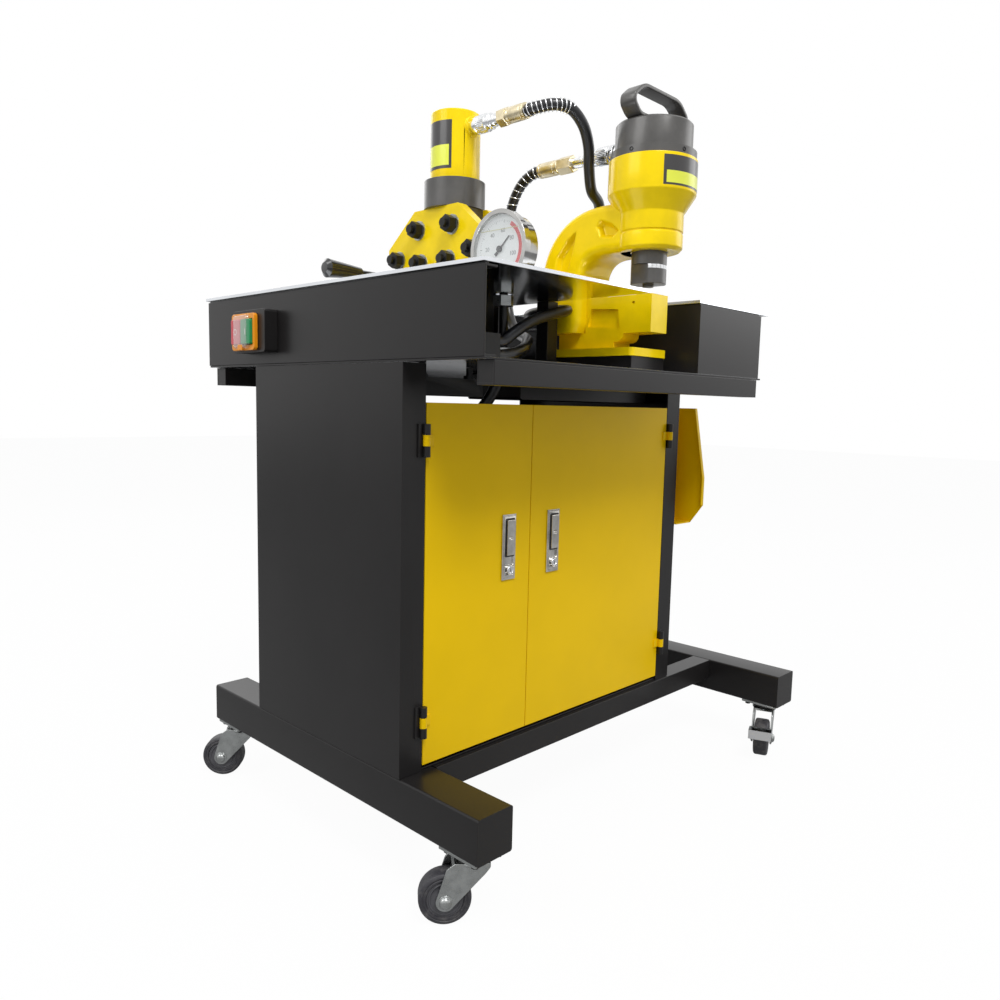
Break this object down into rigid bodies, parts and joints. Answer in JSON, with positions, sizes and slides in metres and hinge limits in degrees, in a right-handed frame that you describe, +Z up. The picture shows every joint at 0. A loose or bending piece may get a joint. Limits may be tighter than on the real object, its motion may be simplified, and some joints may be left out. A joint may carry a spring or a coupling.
{
  "type": "busbar processing machine",
  "caption": "Caster-mounted steel cabinet with a bright work table that carries a hydraulic busbar cutter and a C-frame hydraulic busbar punch with gauge, hoses and switch.",
  "frame": {"origin": "centre of the machine's bounding box in X and Y, on the floor", "axes": "+X right along the door side, +Y to the back, +Z up"},
  "size_m": [0.971, 0.7526, 1.2051],
  "materials": {
    "black_paint": "semi-gloss black powder coat",
    "yellow_paint": "gloss yellow enamel",
    "zinc": "bright zinc plating",
    "steel_plate": "bright cold-rolled plate",
    "chrome": "polished chrome plating",
    "brass": "yellow chromate and zinc plating",
    "rubber": "grey-black moulded tread",
    "hose_rubber": "smooth black hose cover",
    "orange_plastic": "moulded",
    "red_plastic": "moulded",
    "green_plastic": "moulded",
    "black_oxide": "black oxide, satin",
    "pointer_black": "matt"
  },
  "bodies": {
    "frame": {"left_foot": "black_paint", "right_foot": "black_paint", "front_beam": "black_paint", "rear_beam": "black_paint", "left_side_panel": "black_paint", "right_side_panel": "black_paint", "cabinet_floor": "black_paint", "back_panel": "black_paint", "front_rail": "black_paint", "rear_rail": "black_paint", "hanger_bar": "black_paint", "left_apron": "black_paint", "right_apron": "black_paint", "switch_box": "black_paint", "punch_base_block": "black_paint", "control_box": "black_paint", "oil_tank": "black_paint", "pump_motor": "black_paint", "deck_plate": "steel_plate", "table_top": "steel_plate", "cutter_cylinder": "yellow_paint", "cutter_left_plate": "yellow_paint", "cutter_body": "yellow_paint", "punch_frame": "yellow_paint", "side_pocket": "yellow_paint", "gauge_case": "chrome", "punch_die": "zinc", "cutter_hose_spring": "zinc", "punch_hose_spring": "zinc", "cutter_coupling": "brass", "punch_coupling": "brass", "cutter_hose": "hose_rubber", "punch_hose": "hose_rubber", "supply_hose": "hose_rubber", "switch_bezel": "orange_plastic", "valve_manifold": "black_oxide", "cutter_collar": "black_oxide", "punch_cap": "black_oxide", "punch_handle": "black_oxide"},
    "left_door": {"left_door": "yellow_paint", "left_latch_plate": "chrome"},
    "right_door": {"right_door": "yellow_paint", "right_latch_plate": "chrome"},
    "left_paddle": {"left_latch_paddle": "chrome"},
    "right_paddle": {"right_latch_paddle": "chrome"},
    "stop_button": {"stop_button": "red_plastic"},
    "start_button": {"start_button": "green_plastic"},
    "pointer": {"gauge_pointer": "pointer_black"},
    "ram": {"punch_ram": "black_oxide"},
    "blade": {"cutter_blade": "zinc"},
    "clamp_lever": {"clamp_lever": "black_oxide"},
    "front_left_caster": {"front_left_fork": "zinc"},
    "rear_left_caster": {"rear_left_fork": "zinc"},
    "front_right_caster": {"front_right_fork": "zinc"},
    "rear_right_caster": {"rear_right_fork": "zinc"},
    "front_left_wheel": {"front_left_wheel": "rubber"},
    "rear_left_wheel": {"rear_left_wheel": "rubber"},
    "front_right_wheel": {"front_right_wheel": "rubber"},
    "rear_right_wheel": {"rear_right_wheel": "rubber"},
    "brake_pedal": {"front_right_brake_pedal": "chrome"}
  },
  "joints": [
    {"name": "left_door_hinge", "type": "hinge", "parent": "frame", "child": "left_door", "pos_m": [-0.40894, -0.20529, 0.44354], "axis": [0, 0, -1], "range_deg": [0, 110]},
    {"name": "right_door_hinge", "type": "hinge", "parent": "frame", "child": "right_door", "pos_m": [0.20656, -0.20529, 0.44354], "axis": [0, 0, 1], "range_deg": [0, 110]},
    {"name": "left_latch_pull", "type": "hinge", "parent": "left_door", "child": "left_paddle", "pos_m": [-0.23319, -0.20249, 0.52794], "axis": [-1, 0, 0], "range_deg": [0, 26], "stiffness_Nm_per_rad": 0.05, "springref_deg": -11.46},
    {"name": "right_latch_pull", "type": "hinge", "parent": "right_door", "child": "right_paddle", "pos_m": [-0.12719, -0.20249, 0.52794], "axis": [-1, 0, 0], "range_deg": [0, 26], "stiffness_Nm_per_rad": 0.05, "springref_deg": -11.46},
    {"name": "stop_press", "type": "slide", "parent": "frame", "child": "stop_button", "axis": [1, 0, 0], "range_m": [0, 0.003], "stiffness_N_per_m": 400, "springref_m": -0.002},
    {"name": "start_press", "type": "slide", "parent": "frame", "child": "start_button", "axis": [1, 0, 0], "range_m": [0, 0.003], "stiffness_N_per_m": 400, "springref_m": -0.002},
    {"name": "pointer_turn", "type": "hinge", "parent": "frame", "child": "pointer", "pos_m": [-0.22419, -0.15619, 0.94854], "axis": [1, 0, 0], "range_deg": [-182, 88], "stiffness_Nm_per_rad": 0.001},
    {"name": "ram_stroke", "type": "slide", "parent": "frame", "child": "ram", "axis": [0, 0, -1], "range_m": [0, 0.014], "stiffness_N_per_m": 1500, "springref_m": -0.03},
    {"name": "blade_stroke", "type": "slide", "parent": "frame", "child": "blade", "axis": [0, 0, -1], "range_m": [0, 0.03], "stiffness_N_per_m": 1500, "springref_m": -0.03},
    {"name": "clamp_lift", "type": "hinge", "parent": "frame", "child": "clamp_lever", "pos_m": [-0.20519, 0.09381, 0.92454], "axis": [0, 1, 0], "range_deg": [0, 60]},
    {"name": "front_left_swivel", "type": "hinge", "parent": "frame", "child": "front_left_caster", "pos_m": [-0.41469, -0.31919, 0.09224], "axis": [0, 0, 1], "continuous": true},
    {"name": "front_left_roll", "type": "hinge", "parent": "front_left_caster", "child": "front_left_wheel", "pos_m": [-0.44422, -0.29527, 0.03704], "axis": [-0.6293, -0.7771, 0], "continuous": true},
    {"name": "rear_left_swivel", "type": "hinge", "parent": "frame", "child": "rear_left_caster", "pos_m": [-0.41469, 0.30681, 0.09224], "axis": [0, 0, 1], "continuous": true},
    {"name": "rear_left_roll", "type": "hinge", "parent": "rear_left_caster", "child": "rear_left_wheel", "pos_m": [-0.44156, 0.33368, 0.03704], "axis": [-0.7071, -0.7071, 0], "continuous": true},
    {"name": "front_right_swivel", "type": "hinge", "parent": "frame", "child": "front_right_caster", "pos_m": [0.43831, -0.31919, 0.09224], "axis": [0, 0, 1], "continuous": true},
    {"name": "front_right_roll", "type": "hinge", "parent": "front_right_caster", "child": "front_right_wheel", "pos_m": [0.40308, -0.33342, 0.03704], "axis": [0.3746, -0.9272, 0], "continuous": true},
    {"name": "rear_right_swivel", "type": "hinge", "parent": "frame", "child": "rear_right_caster", "pos_m": [0.43831, 0.30681, 0.09224], "axis": [0, 0, 1], "continuous": true},
    {"name": "rear_right_roll", "type": "hinge", "parent": "rear_right_caster", "child": "rear_right_wheel", "pos_m": [0.45731, 0.33972, 0.03704], "axis": [-0.866, 0.5, 0], "continuous": true},
    {"name": "brake_press", "type": "hinge", "parent": "front_right_caster", "child": "brake_pedal", "pos_m": [0.36785, -0.34766, 0.06304], "axis": [0.3746, -0.9272, 0], "range_deg": [0, 15]}
  ]
}
